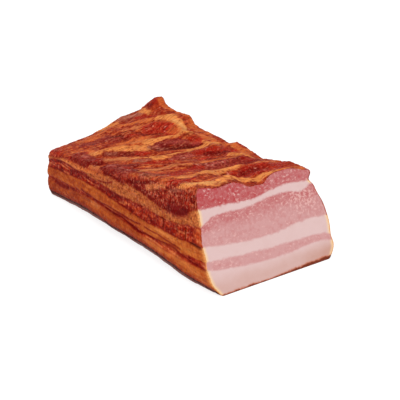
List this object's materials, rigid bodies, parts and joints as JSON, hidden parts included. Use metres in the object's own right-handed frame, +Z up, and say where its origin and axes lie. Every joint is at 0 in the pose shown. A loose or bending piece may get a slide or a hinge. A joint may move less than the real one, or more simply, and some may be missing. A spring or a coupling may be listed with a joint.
{
  "type": "slab of smoked bacon",
  "caption": "Block of smoked pork belly on its rind: smoked crust on the top, sides and far end, and a slanted fresh cut that shows layers of fat and lean.",
  "frame": {"origin": "centre of the slab's bounding box, on the rind that it lies on", "axes": "+X along the slab from the smoked far end to the fresh cut, +Y across it, +Z up from the rind through the layers"},
  "size_m": [0.1964, 0.095, 0.0586],
  "materials": {
    "rind_fat": "cut fat, white-pink and moist, with a dark brown-purple rind under it and an orange-brown smoked side",
    "lower_lean": "cut lean, pale pink with fine fibres, and dark red-brown where it is smoked",
    "middle_fat": "cut fat, white-pink and moist, with an orange-brown smoked side",
    "main_lean": "cut lean, pink with whitish flecks, and dark red-brown where it is smoked",
    "upper_fat": "cut fat, white-pink, with a tan, pitted smoked side",
    "top_crust": "smoked crust, dark red-brown and orange in folds, with a satin sheen, and darker pink lean where it is cut"
  },
  "bodies": {
    "root": {"fat_back": "rind_fat", "lean_lower": "lower_lean", "fat_middle": "middle_fat", "lean_main": "main_lean", "fat_upper": "upper_fat", "lean_top": "top_crust"}
  },
  "joints": []
}
